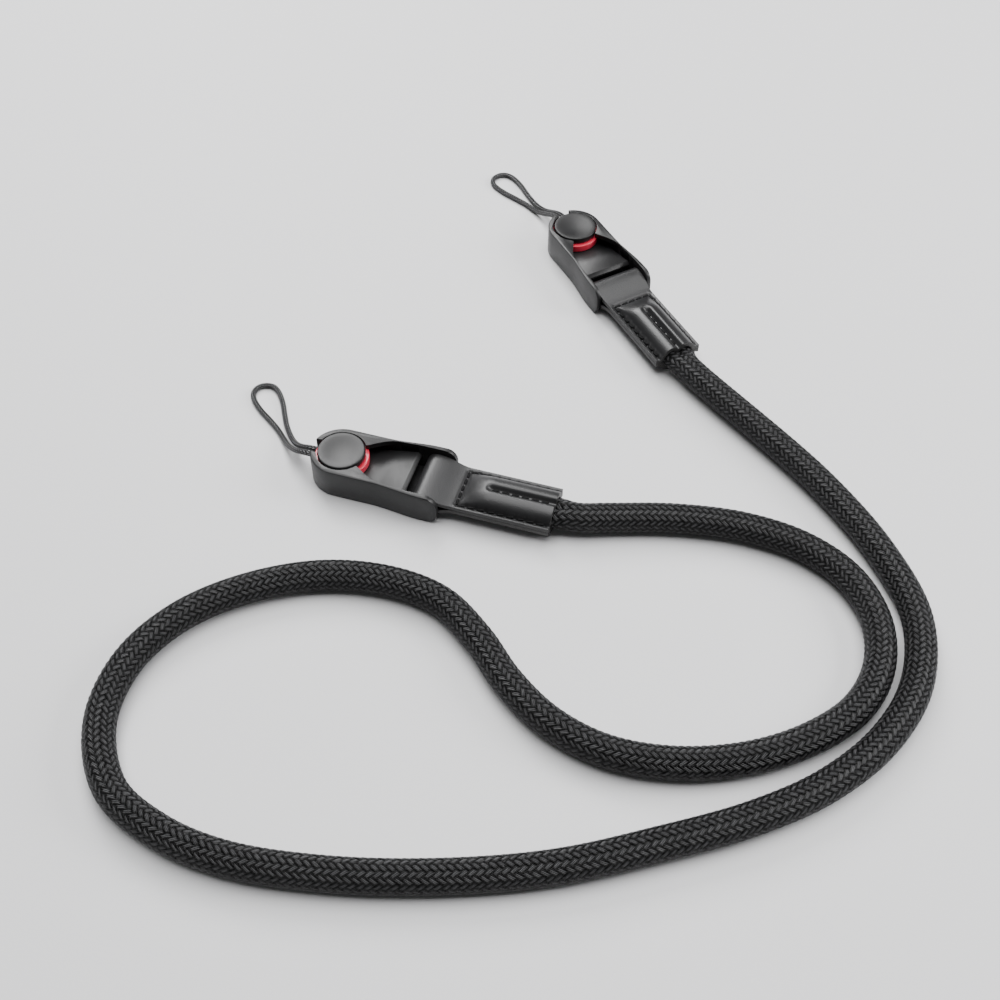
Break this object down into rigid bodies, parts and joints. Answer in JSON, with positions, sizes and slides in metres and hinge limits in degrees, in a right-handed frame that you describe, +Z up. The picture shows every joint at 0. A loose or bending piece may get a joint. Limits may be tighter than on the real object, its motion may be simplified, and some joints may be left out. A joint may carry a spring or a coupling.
{
  "type": "camera neck strap",
  "caption": "Braided rope neck strap with folded leather ends, quick-release housings, press-in anchor buttons and thin cord loops, lying in a loose curve.",
  "frame": {"origin": "on the flat back of the left housing, straight under the centre of its anchor button, on the surface that the strap lies on", "axes": "+Z up from the surface; +X to the right and +Y away from the viewer as the strap lies in the picture"},
  "size_m": [0.2805, 0.3504, 0.0135],
  "materials": {
    "braided_rope": "matt black braid of fine ribs",
    "leather": "smooth black leather with a soft sheen, black stitching",
    "black_plastic": "satin black moulded plastic",
    "red_plastic": "smooth red moulded plastic",
    "thin_cord": "tight black woven cord"
  },
  "bodies": {
    "root": {"rope": "braided_rope", "left_leather_end": "leather", "right_leather_end": "leather", "left_housing": "black_plastic", "right_housing": "black_plastic", "left_anchor_cap": "black_plastic", "right_anchor_cap": "black_plastic", "left_anchor_base": "red_plastic", "right_anchor_base": "red_plastic", "left_cord_loop": "thin_cord", "right_cord_loop": "thin_cord"}
  },
  "joints": []
}
